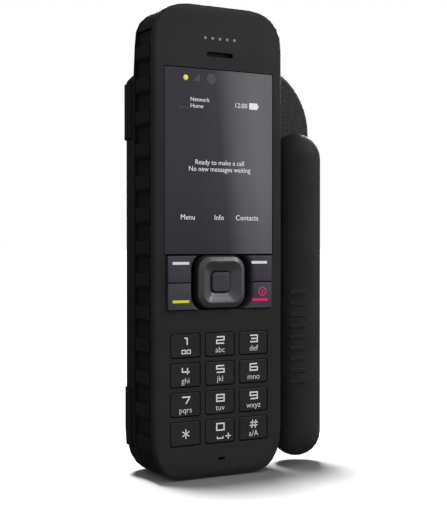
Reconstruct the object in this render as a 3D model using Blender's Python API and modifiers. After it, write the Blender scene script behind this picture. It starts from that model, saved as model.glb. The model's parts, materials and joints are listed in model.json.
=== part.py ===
"""Handheld satellite phone with a swing-out antenna, as an assembly of separate pieces.

Run it with: blender --background --python part.py

The frame: +X to the right as the keypad is read, +Y from the keypad towards the back, +Z up along
the phone. The origin is the centre of the flat bottom end. All the values below are in millimetres
and are turned into metres where the meshes are made.
"""

import math

import bmesh
import bpy
from mathutils import Matrix, Vector

MM = 0.001

# ---- Driving dimensions -------------------------------------------------------------------------
LENGTH = 169.4
WIDTH = 53.0
DEPTH = 30.0
TOP_DEPTH = 21.4  # the upper end is thinner behind
HALF_WIDTH = WIDTH / 2
FRONT = -DEPTH / 2
BACK = DEPTH / 2

TOP_CORNER = (17.6, 13.9)  # half axes of the corners of the front outline, across and up
BOTTOM_CORNER = (15.0, 17.6)
CORNER_POWER = 2.55  # 2 would make the corners elliptic, more makes them squarer
FRONT_EDGE = 1.3  # radius of the rounded front edge
BOTTOM_FRONT_EDGE = 3.2  # the same along the bottom end
BACK_EDGE = 10.0  # rounding of the long back edges
TOP_END_EDGE = 8.0  # rounding of the back edge at the ends
BOTTOM_END_EDGE = 6.0
STEP_LOW = 143.1  # the back steps in between these heights
STEP_HIGH = 145.5
BACK_ROUND_SHARE = BACK_EDGE / DEPTH

GAP = 0.3  # clearance that neighbouring pieces keep
WALL = 3.0
SEAM = FRONT + 2.4  # the front housing's rear rim
FRONT_WALL = 1.8
MOUTH = 4.6  # inset of the rear housing's open mouth
CLEAR = 40.0  # well outside the body, for cutters
BAY_FLOOR = 4.0  # front wall of the battery bay
BAY_LOW, BAY_HIGH = 23.0, 99.0
UPPER_CAVITY_LOW = 109.6  # behind the boards the rear housing is solid below this height

SCREEN = (22.3, 80.5, 146.4)  # half width, bottom and top of the display window
NAV = (21.45, 60.8, 79.9)  # half width, bottom and top of the soft key block
NAV_CENTRE_Z = 70.5
KEY = (11.8, 8.31)
KEY_PITCH = (14.1, 10.41)
KEY_TOP_ROW_Z = 48.1
KEY_CORNER = 0.8
KEY_FRONT = FRONT - 0.1
FLANGE_FRONT = FRONT + 2.5  # the flange that keeps a key in, behind the front wall
FLANGE_THICK = 0.6
MAT_FRONT = FRONT + 3.9  # far enough behind the flanges for the keys' travel
BOARD_FRONT = FRONT + 10.2

GRIP_FLOOR = 1.1  # how far the grip's base lies below the pads' tops
GRIP_THICK = 0.8
GRIP_BACK = 0.3
GRIP_REACH = 17.0  # the grips wrap round the corners to this distance from the middle
GRIP_END_INSET = 0.35  # their ends lie nearly flush
GRIP_RECESS = (16.1, 159.9)  # heights between which a grip lies back at its floor
PAD_PITCH = 11.55
PAD_TOP_FIRST = 154.7
PAD_HEIGHT = 4.6
PAD_RAMP = 1.8
PAD_SLANT = 1.0  # how much narrower a pad is at its top

ROD_RADIUS = 9.55
ROD_WALL = 1.3
ROD_AXIS = (39.2, FRONT + 10.2)
ROD_LOW, ROD_HIGH = 3.0, 126.4
PIVOT = Vector((ROD_AXIS[0], 0.0, ROD_HIGH - ROD_RADIUS))
PIN_RADIUS = 3.0
EAR_FRONT = -0.9
EAR_BACK = 10.6
EAR_ARC_CENTRE = (22.3, 127.0)
EAR_ARC_RADIUS = 26.0
EAR_LOW_RADIUS = 8.3
FLAT_REACH = 37.2  # how far from the pivot the rod's back is flattened

OBJECT = "satellite_phone"

# ---- Materials: colour, roughness, metallic ------------------------------------------------------
FINISHES = {
    "housing": ((0.020, 0.020, 0.021), 0.55, 0.0),
    "grip_rubber": ((0.012, 0.012, 0.012), 0.80, 0.0),
    "ear_texture": ((0.028, 0.028, 0.029), 0.70, 0.0),
    "glass": ((0.060, 0.060, 0.068), 0.08, 0.0),
    "display": ((0.035, 0.035, 0.042), 0.30, 0.0),
    "key": ((0.018, 0.018, 0.019), 0.50, 0.0),
    "soft_key": ((0.050, 0.050, 0.056), 0.40, 0.0),
    "ring": ((0.075, 0.075, 0.082), 0.32, 0.2),
    "silicone": ((0.010, 0.010, 0.010), 0.75, 0.0),
    "board": ((0.020, 0.090, 0.045), 0.45, 0.0),
    "steel": ((0.550, 0.560, 0.570), 0.30, 1.0),
    "gold": ((0.800, 0.600, 0.250), 0.25, 1.0),
    "black_plastic": ((0.015, 0.015, 0.016), 0.50, 0.0),
    "battery_label": ((0.030, 0.030, 0.033), 0.45, 0.0),
    "card": ((0.700, 0.700, 0.690), 0.40, 0.0),
    "ceramic": ((0.620, 0.580, 0.480), 0.60, 0.0),
    "light": ((0.680, 0.660, 0.040), 0.30, 0.0),
}


def clear_scene():
    for obj in list(bpy.data.objects):
        bpy.data.objects.remove(obj, do_unlink=True)


def new_collection(name):
    collection = bpy.data.collections.new(name)
    bpy.context.scene.collection.children.link(collection)
    return collection


def material(name):
    found = bpy.data.materials.get(name)
    if found:
        return found
    color, roughness, metallic = FINISHES[name]
    made = bpy.data.materials.new(name)
    made.use_nodes = True
    shader = made.node_tree.nodes["Principled BSDF"]
    shader.inputs["Base Color"].default_value = (*color, 1.0)
    shader.inputs["Roughness"].default_value = roughness
    shader.inputs["Metallic"].default_value = metallic
    return made


# ---- Making and joining shapes --------------------------------------------------------------------
def link(name, mesh, finish=None):
    """A part's object, or a cutter's where no finish is given."""
    obj = bpy.data.objects.new(name, mesh)
    if finish:
        PARTS.objects.link(obj)
        mesh.materials.clear()
        mesh.materials.append(material(finish))
    else:
        CUTTERS.objects.link(obj)
        obj.hide_render = True
        obj.display_type = "WIRE"
    return obj


def mesh_from(name, bm):
    mesh = bpy.data.meshes.new(name)
    bmesh.ops.recalc_face_normals(bm, faces=bm.faces)
    bm.to_mesh(mesh)
    bm.free()
    return mesh


def box(name, x, y, z, finish=None, bevel=0.0, segments=2):
    bm = bmesh.new()
    bmesh.ops.create_cube(bm, size=1.0)
    middle = Vector(((x[0] + x[1]) / 2, (y[0] + y[1]) / 2, (z[0] + z[1]) / 2)) * MM
    size = Vector((x[1] - x[0], y[1] - y[0], z[1] - z[0])) * MM
    bmesh.ops.scale(bm, vec=size, verts=bm.verts)
    obj = link(name, mesh_from(name, bm), finish)
    obj.location = middle
    if bevel:
        round_edges(obj, bevel, segments)
    return obj


DIRECTIONS = {
    "x": Matrix.Rotation(math.pi / 2, 4, "Y"),
    "y": Matrix.Rotation(-math.pi / 2, 4, "X"),
    "z": Matrix.Identity(4),
}


def cylinder(name, axis, centre, radius, low, high, finish=None, sides=32, bevel=0.0):
    """A rod along axis; centre gives the two other coordinates in x, y, z order."""
    bm = bmesh.new()
    size = {"radius1": radius * MM, "radius2": radius * MM, "depth": (high - low) * MM}
    bmesh.ops.create_cone(bm, cap_ends=True, segments=sides, **size)
    obj = link(name, mesh_from(name, bm), finish)
    obj.matrix_world = Matrix.Translation(along(axis, centre, (low + high) / 2)) @ DIRECTIONS[axis]
    if bevel:
        round_edges(obj, bevel, 1)
    smooth(obj)
    return obj


def along(axis, centre, position):
    spots = list(centre)
    spots.insert("xyz".index(axis), position)
    return Vector(spots) * MM


def turns_on(name, place, *pieces):
    """An empty on a joint's axis, which the pieces that move together hang from."""
    pivot = bpy.data.objects.new(name, None)
    pivot.location = Vector(place) * MM
    PARTS.objects.link(pivot)
    for piece in pieces:
        piece.parent = pivot
        piece.matrix_parent_inverse = Matrix.Translation(-pivot.location)


def smooth(obj):
    obj.data.shade_smooth()
    obj.data.set_sharp_from_angle(angle=math.radians(35))


def round_edges(obj, width, segments):
    bevel = obj.modifiers.new("round_edges", "BEVEL")
    bevel.width = width * MM
    bevel.segments = segments
    bevel.limit_method = "ANGLE"
    bevel.angle_limit = math.radians(35)


def boolean(obj, operation, *others):
    for other in others:
        modifier = obj.modifiers.new(other.name, "BOOLEAN")
        modifier.operation = operation
        modifier.object = other
        modifier.solver = "EXACT"
    return obj


def cut(obj, *cutters):
    return boolean(obj, "DIFFERENCE", *cutters)


def join(obj, *others):
    return boolean(obj, "UNION", *others)


def keep(obj, *others):
    return boolean(obj, "INTERSECT", *others)


def baked(obj):
    """The object's evaluated shape as a plain mesh, with the object and its modifiers removed."""
    bpy.context.view_layer.update()
    graph = bpy.context.evaluated_depsgraph_get()
    mesh = bpy.data.meshes.new_from_object(obj.evaluated_get(graph))
    mesh.transform(obj.matrix_world)
    bpy.data.objects.remove(obj, do_unlink=True)
    return mesh


def merged(name, objects):
    """Several cutters, clear of each other, as one."""
    bm = bmesh.new()
    for obj in objects:
        bm.from_mesh(baked(obj))
    return link(name, mesh_from(name, bm))


PLANES = {
    "xz": Matrix(((1, 0, 0, 0), (0, 0, -1, 0), (0, 1, 0, 0), (0, 0, 0, 1))),
    "yz": Matrix(((0, 0, 1, 0), (1, 0, 0, 0), (0, 1, 0, 0), (0, 0, 0, 1))),
    "xy": Matrix.Identity(4),
}


def plate(name, plane, outline, low, high, finish=None, bevel=0.0, segments=2, centre=(0.0, 0.0)):
    """A flat outline in the plane, thick from low to high along the plane's normal."""
    curve = bpy.data.curves.new(name, "CURVE")
    curve.dimensions = "2D"
    curve.fill_mode = "BOTH"
    curve.extrude = (high - low) / 2 * MM
    spline = curve.splines.new("POLY")
    spline.points.add(len(outline) - 1)
    for point, (u, v) in zip(spline.points, outline):
        point.co = (u * MM, v * MM, 0.0, 1.0)
    spline.use_cyclic_u = True
    drawn = bpy.data.objects.new(name + "_outline", curve)
    CUTTERS.objects.link(drawn)
    bm = bmesh.new()
    bm.from_mesh(baked(drawn))
    bmesh.ops.remove_doubles(bm, verts=bm.verts, dist=1e-7)
    bmesh.ops.dissolve_limit(bm, angle_limit=math.radians(0.5), verts=bm.verts, edges=bm.edges)
    obj = link(name, mesh_from(name, bm), finish)
    normal = {"xz": "y", "yz": "x", "xy": "z"}[plane]
    obj.matrix_world = Matrix.Translation(along(normal, centre, (low + high) / 2)) @ PLANES[plane]
    if bevel:
        round_edges(obj, bevel, segments)
    return obj


def arc(centre, radii, start, stop, steps):
    """Points on an elliptic arc, with its angles in degrees."""
    turns = [math.radians(start + (stop - start) * i / steps) for i in range(steps + 1)]
    return [(centre[0] + radii[0] * math.cos(a), centre[1] + radii[1] * math.sin(a)) for a in turns]


def rounded_rect(width, height, radius, steps=4):
    points = []
    for quarter, (sx, sz) in enumerate(((1, 1), (-1, 1), (-1, -1), (1, -1))):
        corner = (sx * (width / 2 - radius), sz * (height / 2 - radius))
        points += arc(corner, (radius, radius), quarter * 90, quarter * 90 + 90, steps)
    return points


def turned(name, profile, place, finish=None, steps=32):
    """A solid of revolution about local Z from (radius, height) points that run from top to bottom."""
    mesh = bpy.data.meshes.new(name)
    points = [(r * MM, 0.0, z * MM) for r, z in profile]
    mesh.from_pydata(points, [(i, i + 1) for i in range(len(points) - 1)], [])
    obj = link(name, mesh, finish)
    screw = obj.modifiers.new("turn", "SCREW")
    screw.steps = steps
    screw.render_steps = steps
    screw.use_merge_vertices = True
    screw.merge_threshold = 1e-6
    screw.use_smooth_shade = True
    obj.matrix_world = place
    return obj


def loft(name, sections, finish=None):
    """A closed skin through sections of equally many points, with a flat cap on each end."""
    bm = bmesh.new()
    rings = [[bm.verts.new(Vector(p) * MM) for p in section] for section in sections]
    for low, high in zip(rings, rings[1:]):
        for i in range(len(low)):
            j = (i + 1) % len(low)
            bm.faces.new((low[i], low[j], high[j], high[i]))
    bm.faces.new(rings[0][::-1])
    bm.faces.new(rings[-1])
    return link(name, mesh_from(name, bm), finish)


# ---- The body's outer form ------------------------------------------------------------------------
def rounded_drop(distance, reach):
    """How far a rounding of this reach has fallen at a distance from its end."""
    if distance >= reach:
        return 0.0
    return reach - math.sqrt(max(0.0, reach**2 - (reach - distance) ** 2))


def half_width(z):
    if z > LENGTH / 2:
        across, up = TOP_CORNER
        share = 1 - (LENGTH - z) / up
    else:
        across, up = BOTTOM_CORNER
        share = 1 - z / up
    bend = max(0.0, min(1.0, share)) ** CORNER_POWER
    return HALF_WIDTH - across * (1 - (1 - bend) ** (1 / CORNER_POWER))


def back_of(z):
    share = min(1.0, max(0.0, (z - STEP_LOW) / (STEP_HIGH - STEP_LOW)))
    eased = share * share * (3 - 2 * share)
    flat = BACK - (DEPTH - TOP_DEPTH) * eased
    return flat - rounded_drop(z, BOTTOM_END_EDGE) - rounded_drop(LENGTH - z, TOP_END_EDGE)


def front_of(z):
    return FRONT + rounded_drop(z, BOTTOM_FRONT_EDGE) + rounded_drop(LENGTH - z, FRONT_EDGE)


def body_section(z, inset):
    """One level of the body, seen from above, pushed in by the inset at the sides, back and ends."""
    side = half_width(z) - inset
    front = front_of(z) + min(0.0, inset)
    back = back_of(z) - inset
    edge = max(0.3, FRONT_EDGE - inset)
    back_edge = max(1.0, BACK_EDGE - inset) * side / (HALF_WIDTH - inset)
    back_deep = (back - front) * BACK_ROUND_SHARE
    low = LENGTH / 2 + (z - LENGTH / 2) * (1 - inset / (LENGTH / 2))
    right = arc((side - edge, front + edge), (edge, edge), -90, 0, 3)
    right += arc((side - back_edge, back - back_deep), (back_edge, back_deep), 0, 90, 7)
    left = [(-x, y) for x, y in reversed(right)]
    return [(x, y, low) for x, y in right + left]


def body_levels():
    """Heights of the body's sections: close together where it curves."""
    angles = (0, 15, 30, 45, 57, 68, 79, 90)
    shares = [math.sin(math.radians(a)) ** (2 / CORNER_POWER) for a in angles]
    low = [BOTTOM_CORNER[1] * (1 - share) for share in shares]
    high = [LENGTH - TOP_CORNER[1] * (1 - share) for share in shares]
    step = [STEP_LOW + (STEP_HIGH - STEP_LOW) * i / 4 for i in range(4)]
    return sorted(low + step + high)


def body_form(name, inset=0.0, finish=None):
    return loft(name, [body_section(z, inset) for z in body_levels()], finish)


def skin_patch(name, x, y, z, outer, inner, finish=None):
    """A piece of the body's skin between two insets, kept inside a box."""
    patch = body_form(name, outer, finish)
    keep(patch, box(name + "_limits", x, y, z))
    cut(patch, body_form(name + "_inside", inner))
    return patch


# ---- Front housing and what shows through it ------------------------------------------------------
def digit_key_places():
    for row in range(4):
        for column in range(3):
            yield (column - 1) * KEY_PITCH[0], KEY_TOP_ROW_Z - row * KEY_PITCH[1]


SCREW_TOP = (15.4, 155.0)
SCREW_TOP_BACK = BACK - (DEPTH - TOP_DEPTH) - 0.9  # the screw heads' tops lie below the back
SCREW_BOTTOM = (14.6, 8.3)
SCREW_BOTTOM_BACK = BACK - 1.4
SCREW_HEAD_RADIUS = 2.05
SCREW_SHAFT_RADIUS = 0.95
POST_RADIUS = 3.0


def screw_places():
    """Name, x, z and the rear end of each housing screw."""
    for side, sign in (("left", -1), ("right", 1)):
        yield "top_" + side, sign * SCREW_TOP[0], SCREW_TOP[1], SCREW_TOP_BACK
        yield "bottom_" + side, sign * SCREW_BOTTOM[0], SCREW_BOTTOM[1], SCREW_BOTTOM_BACK


SLOT_Z = 151.9
MIC_X, MIC_Z = 0.4, 6.9
LED = (-13.9, 142.9)
LED_RADIUS = 0.9
DISPLAY_MODULE = (18.5, 88.4, 140.1)  # half width, bottom and top


def front_housing():
    housing = body_form("front_housing", 0.0, "housing")
    keep(housing, box("front_slab", (-CLEAR, CLEAR), (FRONT - 5, SEAM), (-5, LENGTH + 5)))
    hollow = body_form("front_hollow", 3.8)
    keep(hollow, box("front_hollow_limits", (-CLEAR, CLEAR), (FRONT + FRONT_WALL, 0), (-5, LENGTH + 5)))
    bosses = [boss("front_boss_" + name, x, z, FRONT, SEAM - 0.2) for name, x, z, _ in screw_places()]
    cut(hollow, *bosses)
    cut(housing, hollow)

    half, low, high = SCREEN
    edge = half + GAP
    window = box("window_pocket", (-edge, edge), (FRONT - 1, FRONT + 1.3), (low - GAP, high + GAP))
    half, low, high = DISPLAY_MODULE
    edge = half + 0.4
    display = box("display_opening", (-edge, edge), (FRONT, SEAM + 1), (low - 0.4, high + 0.4))
    cut(housing, window, display, front_opening("nav_opening", *nav_outline(GAP)))

    place_key = rounded_rect(KEY[0] + 2 * GAP, KEY[1] + 2 * GAP, KEY_CORNER + 0.2, 3)
    openings = [front_opening(f"keyhole_{i}", place_key, place) for i, place in enumerate(digit_key_places())]
    openings.append(front_opening("ear_slot", rounded_rect(10.8, 1.8, 0.85, 3), (0.0, SLOT_Z)))
    openings.append(front_opening("mic_slot", rounded_rect(3.3, 1.0, 0.45, 3), (MIC_X, MIC_Z)))
    openings.append(cylinder("led_hole", "y", LED, LED_RADIUS + GAP, FRONT, SEAM + 1, sides=16))
    shaft_hole = SCREW_SHAFT_RADIUS + GAP
    for name, x, z, _ in screw_places():
        hole = cylinder("front_screw_hole_" + name, "y", (x, z), shaft_hole, FRONT + 1.2, SEAM + 1, sides=12)
        openings.append(hole)
    cut(housing, merged("front_holes", openings))


def front_opening(name, outline, centre):
    """A cutter right through the front wall."""
    return plate(name, "xz", outline, FRONT - 1, SEAM + 1, centre=centre)


def nav_outline(clearance):
    """The soft key block's outline and its middle."""
    half, low, high = NAV
    outline = rounded_rect(2 * (half + clearance), high - low + 3 * clearance, 0.5, 2)
    return outline, (0.0, (low + high + clearance) / 2)


def boss(name, x, z, low, high):
    return cylinder(name, "y", (x, z), POST_RADIUS, low, high, sides=20)


def display():
    half, low, high = SCREEN
    depth = (FRONT + 0.05, FRONT + 1.0)
    box("display_window", (-half, half), depth, (low, high), "glass", bevel=0.12, segments=1)
    half, low, high = DISPLAY_MODULE
    depth = (FRONT + 1.4, FRONT + 4.1)
    box("display_module", (-half, half), depth, (low, high), "display", bevel=0.3, segments=1)
    cylinder("light_pipe", "y", LED, LED_RADIUS, FRONT + 1.3, BOARD_FRONT - 0.8, "light", sides=16)


def key_cap(name, outline, front, rear, finish, centre=(0.0, 0.0)):
    return plate(name, "xz", outline, front, rear, finish, bevel=0.25, segments=1, centre=centre)


KEY_NAMES = ("1", "2", "3", "4", "5", "6", "7", "8", "9", "star", "0", "hash")


def keypad():
    """The digit keys: a cap each, and a wider flange behind the housing that keeps it in."""
    pattern = key_cap("key_pattern", rounded_rect(*KEY, KEY_CORNER, 3), KEY_FRONT, FLANGE_FRONT + 0.3, "key")
    wider = rounded_rect(KEY[0] + 1.0, KEY[1] + 0.8, KEY_CORNER, 1)
    flange = plate("key_flange", "xz", wider, FLANGE_FRONT, FLANGE_FRONT + FLANGE_THICK)
    join(pattern, flange)
    shared = baked(pattern)
    for name, (x, z) in zip(KEY_NAMES, digit_key_places()):
        key = link("key_" + name, shared, "key")
        key.location = Vector((x, 0.0, z)) * MM
    bpy.data.objects.remove(flange, do_unlink=True)


RING_CHANNEL = (24.2, 19.9, 5.5)  # width, height and corner radius
SOFT_KEYS = (("soft_key_left", -1, 1), ("soft_key_right", 1, 1), ("call_key", -1, -1), ("end_key", 1, -1))


def soft_keys():
    """Four keys around the ring, each bitten by the rounded channel that the ring sits in."""
    half, low, high = NAV
    middle = (low + high) / 2
    for name, side, level in SOFT_KEYS:
        across = sorted((side * 4.0, side * half))
        upright = (middle + GAP / 2, high) if level > 0 else (low, middle - GAP / 2)
        key = box(name, across, (FRONT - 1.0, FLANGE_FRONT + FLANGE_THICK), upright, "soft_key")
        bite = rounded_rect(*RING_CHANNEL, 5)
        cut(key, plate(name + "_bite", "xz", bite, FRONT - 3, FRONT + 5, centre=(0.0, NAV_CENTRE_Z)))
        round_edges(key, 0.3, 1)


def pyramid(name, front, rear, sizes, finish=None):
    """A rounded block whose outline goes from the front size to the rear size."""
    sections = []
    for y, (width, height, radius) in zip((front, rear), sizes):
        outline = rounded_rect(width, height, radius)
        sections.append([(x, y, NAV_CENTRE_Z + z) for x, z in outline])
    return loft(name, sections, finish)


RING_HOLE = (7.9, 7.6, 1.5)
NAV_PIVOT = (0.0, FRONT + 1.8, NAV_CENTRE_Z)  # the ring rocks about this point


def navigation_keys():
    ring = pyramid("nav_ring", FRONT - 2.2, FRONT + 1.2, ((17.8, 17.4, 3.8), (20.2, 19.0, 4.6)), "ring")
    cut(ring, pyramid("ring_dish", FRONT - 2.4, FRONT - 0.5, ((14.6, 14.0, 2.4), RING_HOLE)))
    middle = (0.0, NAV_CENTRE_Z)
    hole = rounded_rect(*RING_HOLE)
    cut(ring, plate("ring_hole", "xz", hole, FRONT - 3, FRONT + 5, centre=middle))

    web = rounded_rect(19.0, 17.6, 4.0)
    carrier = plate("nav_carrier", "xz", web, FRONT + 2.0, FRONT + 2.8, "silicone", centre=middle)
    cut(carrier, plate("carrier_hole", "xz", hole, FRONT, FRONT + 5, centre=middle))
    turns_on("nav_left_right_pivot", NAV_PIVOT, ring)
    turns_on("nav_up_down_pivot", NAV_PIVOT, carrier)

    key_cap("nav_centre", rounded_rect(7.3, 7.0, 1.3), FRONT - 1.2, FRONT + 2.9, "soft_key", middle)


def keypad_layers():
    """Behind the keys: the silicone mat that returns them, and the board with their switches."""
    low, high = 12.6, 81.0
    outline = rounded_rect(41.4, high - low, 5.0)
    middle = (0.0, (low + high) / 2)
    plate("keypad_mat", "xz", outline, MAT_FRONT, MAT_FRONT + 0.7, "silicone", centre=middle)
    outline = rounded_rect(40.0, high - low - 3.0, 3.0)
    plate("key_switch_board", "xz", outline, MAT_FRONT + 1.1, MAT_FRONT + 1.9, "board", centre=middle)


# ---- Rear housing ----------------------------------------------------------------------------------
DOOR = (20.6, 18.6, 107.4)  # half width, bottom and top of the battery door
DOOR_THICK = 1.8
BAY_HALF = 19.3
LATCH = (0.0, 102.3)
LATCH_RADIUS = 3.9
LATCH_SHAFT = 1.5
SPEAKER_Z = 128.0
PORT_FLAP = ((3.2, 11.2), (122.0, 142.4))  # depth and height of the flap on the left edge
FLAP_HINGE = (-25.45, 11.9, 132.2)  # just outside the skin, so that the flap clears its recess
USB = (7.0, 137.6)
USB_SIZE = (2.8, 7.8)  # depth and height
AUDIO = (5.8, 127.4)
AUDIO_BORE = 1.75
ANTENNA_PORT = (-9.0, 114.6)
PLUG_RADIUS = 4.3
VOLUME = (-6.4, 139.4)
VOLUME_SIZE = (4.6, 15.0)
ALERT_Y = -6.2  # the alert key on the top end, and its cover
ALERT_RADIUS = 2.6
ALERT_COVER = ((-8.0, 8.0), (-10.6, -2.2))
ALERT_RECESS = 1.9
LANYARD = (-6.2, 9.4)
SIDE_STRIP = ((3.2, 9.4), (11.0, 32.0))  # depth and height of the raised strips beside the foot


def rear_housing():
    housing = body_form("rear_housing", 0.0, "housing")
    for sign in (-1, 1):
        join(housing, skin_patch(f"side_strip_{sign}", side_range(sign, 15.0), *SIDE_STRIP, -0.5, 1.0))
    keep(housing, box("rear_tub", (-CLEAR, CLEAR), (SEAM + 0.4, CLEAR), (-5, LENGTH + 5)))
    hollow_out(housing)
    for sign, name in ((-1, "grip_groove_left"), (1, "grip_groove_right")):
        across = side_range(sign, GRIP_REACH - GAP)
        depth = (SEAM - 0.5, GRIP_BACK + GAP)
        inner = GRIP_FLOOR + GRIP_THICK + GAP
        cut(housing, skin_patch(name, across, depth, (-5, LENGTH + 5), -1.0, inner))
    open_battery_bay(housing)
    open_ports(housing)
    open_controls(housing)
    open_screw_holes(housing)
    cut(housing, lanyard_tunnel())


def side_range(sign, start):
    """The range of x from a start outwards, on one side."""
    return sorted((sign * start, sign * CLEAR))


def hollow_out(housing):
    hollow = body_form("rear_hollow", WALL)
    battery_block = box("battery_block", (-CLEAR, CLEAR), (1.5, CLEAR), (-5, UPPER_CAVITY_LOW))
    mouth_lip = box("mouth_lip", (-CLEAR, CLEAR), (-30, SEAM + 2.2), (-5, LENGTH + 5))
    cut(hollow, battery_block, mouth_lip)
    cut(housing, hollow)
    mouth = body_form("rear_mouth", MOUTH)
    keep(mouth, box("mouth_limits", (-CLEAR, CLEAR), (-30, SEAM + 2.4), (-5, LENGTH + 5)))
    cut(housing, mouth)
    seat = body_form("gasket_seat", 2.7)
    keep(seat, box("gasket_seat_limits", (-CLEAR, CLEAR), (-30, SEAM + 1.1), (-5, LENGTH + 5)))
    cut(housing, seat)
    posts = [boss("post_" + name, x, z, SEAM + 1.3, back) for name, x, z, back in screw_places()]
    join(housing, merged("screw_posts", posts))


def open_battery_bay(housing):
    half, low, high = DOOR
    edge = half + GAP
    height = (low - GAP, high + GAP)
    cut(
        housing,
        skin_patch("door_recess", (-edge, edge), (5, CLEAR), height, -1.0, DOOR_THICK + GAP),
        box("battery_bay", (-BAY_HALF, BAY_HALF), (BAY_FLOOR, CLEAR), (BAY_LOW, BAY_HIGH)),
        cylinder("latch_hole", "y", LATCH, LATCH_SHAFT + 0.4, 5.7, 20, sides=16),
    )


def open_ports(housing):
    """The flap's recess with the two sockets in it, the antenna port and the speaker slots."""
    flap_room = [(a - GAP, b + GAP) for a, b in PORT_FLAP]
    cut(housing, skin_patch("flap_recess", (-CLEAR, -15), *flap_room, -2.0, 1.3))
    usb = box("usb_opening", (-CLEAR, -20), *grown(USB, USB_SIZE, 0.4))
    audio = cylinder("audio_opening", "x", AUDIO, AUDIO_BORE + 0.65, -CLEAR, -18, sides=20)
    port = cylinder("antenna_port_hole", "y", ANTENNA_PORT, 3.4, 10.0, 20, sides=24)
    port_step = cylinder("antenna_port_step", "y", ANTENNA_PORT, PLUG_RADIUS + 0.4, 13.6, 20, sides=24)
    slots = []
    for i in range(5):
        low = SPEAKER_Z - 4.6 + 2.2 * i
        slots.append(box(f"slot_{i}", (-6, 6), (10, 20), (low, low + 1.0)))
    cut(housing, usb, audio, port, port_step, merged("speaker_slots", slots))


def grown(middle, size, clearance):
    """Ranges of depth and height round a middle."""
    return [(m - s / 2 - clearance, m + s / 2 + clearance) for m, s in zip(middle, size)]


def open_controls(housing):
    volume = box("volume_opening", (18, CLEAR), *grown(VOLUME, VOLUME_SIZE, GAP))
    across, deep = [(a - GAP, b + GAP) for a, b in ALERT_COVER]
    recess = box("alert_recess", across, deep, (LENGTH - ALERT_RECESS, LENGTH + 5))
    hole = cylinder("alert_hole", "z", (0.0, ALERT_Y), ALERT_RADIUS + GAP, LENGTH - 8, LENGTH + 5, sides=24)
    cut(housing, volume, recess, hole)


def open_screw_holes(housing):
    heads = []
    shafts = []
    for name, x, z, back in screw_places():
        head = cylinder("screw_head_" + name, "y", (x, z), SCREW_HEAD_RADIUS + 0.35, back - 1.8, 25, sides=20)
        radius = SCREW_SHAFT_RADIUS + GAP
        shaft = cylinder("screw_shaft_" + name, "y", (x, z), radius, SEAM - 1, back, sides=12)
        heads.append(head)
        shafts.append(shaft)
    cut(housing, merged("screw_heads", heads), merged("screw_shafts", shafts))


def lanyard_tunnel():
    """A bent hole into the back and out again, which a wrist strap is threaded through."""
    place = Vector((LANYARD[0], BACK - 0.4, LANYARD[1])) * MM
    radii = {"major_radius": 3.4 * MM, "minor_radius": 1.25 * MM}
    bpy.ops.mesh.primitive_torus_add(major_segments=24, minor_segments=10, location=place, **radii)
    return link("lanyard_tunnel", baked(bpy.context.object))


def gasket_and_screws():
    depth = (SEAM + 0.3, SEAM + 0.8)
    skin_patch("housing_gasket", (-CLEAR, CLEAR), depth, (-5, LENGTH + 5), 2.95, 3.7, "silicone")
    for name, x, z, back in screw_places():
        screw = cylinder("screw_" + name, "y", (x, z), SCREW_HEAD_RADIUS, back - 1.5, back, "steel", sides=20)
        shaft = cylinder("shaft_" + name, "y", (x, z), SCREW_SHAFT_RADIUS, FRONT + 1.5, back - 1.0, sides=12)
        join(screw, shaft)
        cut(screw, cylinder("drive_" + name, "y", (x, z), 0.95, back - 0.8, back + 1, sides=6))


# ---- Grips -------------------------------------------------------------------------------------------
def pad(name, sign, top):
    """One raised pad: wide at its foot, narrower at its top edge, with a ramp below it."""
    floor = HALF_WIDTH - GRIP_FLOOR
    front = SEAM + 0.7
    back = GRIP_BACK - 0.6
    low = top - PAD_HEIGHT
    foot_low = low - PAD_RAMP
    foot = [(front, foot_low), (back, foot_low), (back, top), (front + PAD_SLANT, top)]
    crest = [(front + 0.3, low), (back, low), (back, top - 0.3), (front + PAD_SLANT + 0.3, top - 0.3)]
    sections = []
    for out, outline in ((floor - 0.4, foot), (floor, foot), (HALF_WIDTH, crest)):
        sections.append([(sign * (half_width(z) - HALF_WIDTH + out), y, z) for y, z in outline])
    return loft(name, sections)


def grip(name, sign, lowest, highest):
    """A strip that wraps round both corners and lies back between them, with its raised pads."""
    across = side_range(sign, GRIP_REACH)
    inner = GRIP_FLOOR + GRIP_THICK
    limits = (across, (SEAM + 0.5, GRIP_BACK), (-5, LENGTH + 5))
    strip = skin_patch(name, *limits, GRIP_END_INSET, inner, "grip_rubber")
    cut(strip, skin_patch(name + "_recess", across, (SEAM, BACK), GRIP_RECESS, -1.0, GRIP_FLOOR))
    pads = []
    top = PAD_TOP_FIRST
    while top > lowest:
        if top < highest:
            pads.append(pad(f"{name}_pad_{len(pads)}", sign, top))
        top -= PAD_PITCH
    join(strip, merged(name + "_pads", pads))
    return strip


def grips():
    grip("left_grip", -1, 20.0, 160.0)
    right = grip("right_grip", 1, 20.0, 131.5)
    volume_room = box("grip_volume_opening", (18, CLEAR), *grown(VOLUME, VOLUME_SIZE, GAP))
    ear_room = box("grip_ear_relief", (20, CLEAR), (EAR_FRONT - GAP, 10), (100, 160))
    cut(right, volume_room, ear_room)


# ---- Side, top and back controls and covers ------------------------------------------------------------
ALERT_TOP = LENGTH - 0.1  # the alert cover's outer face, and its hinge line


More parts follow.
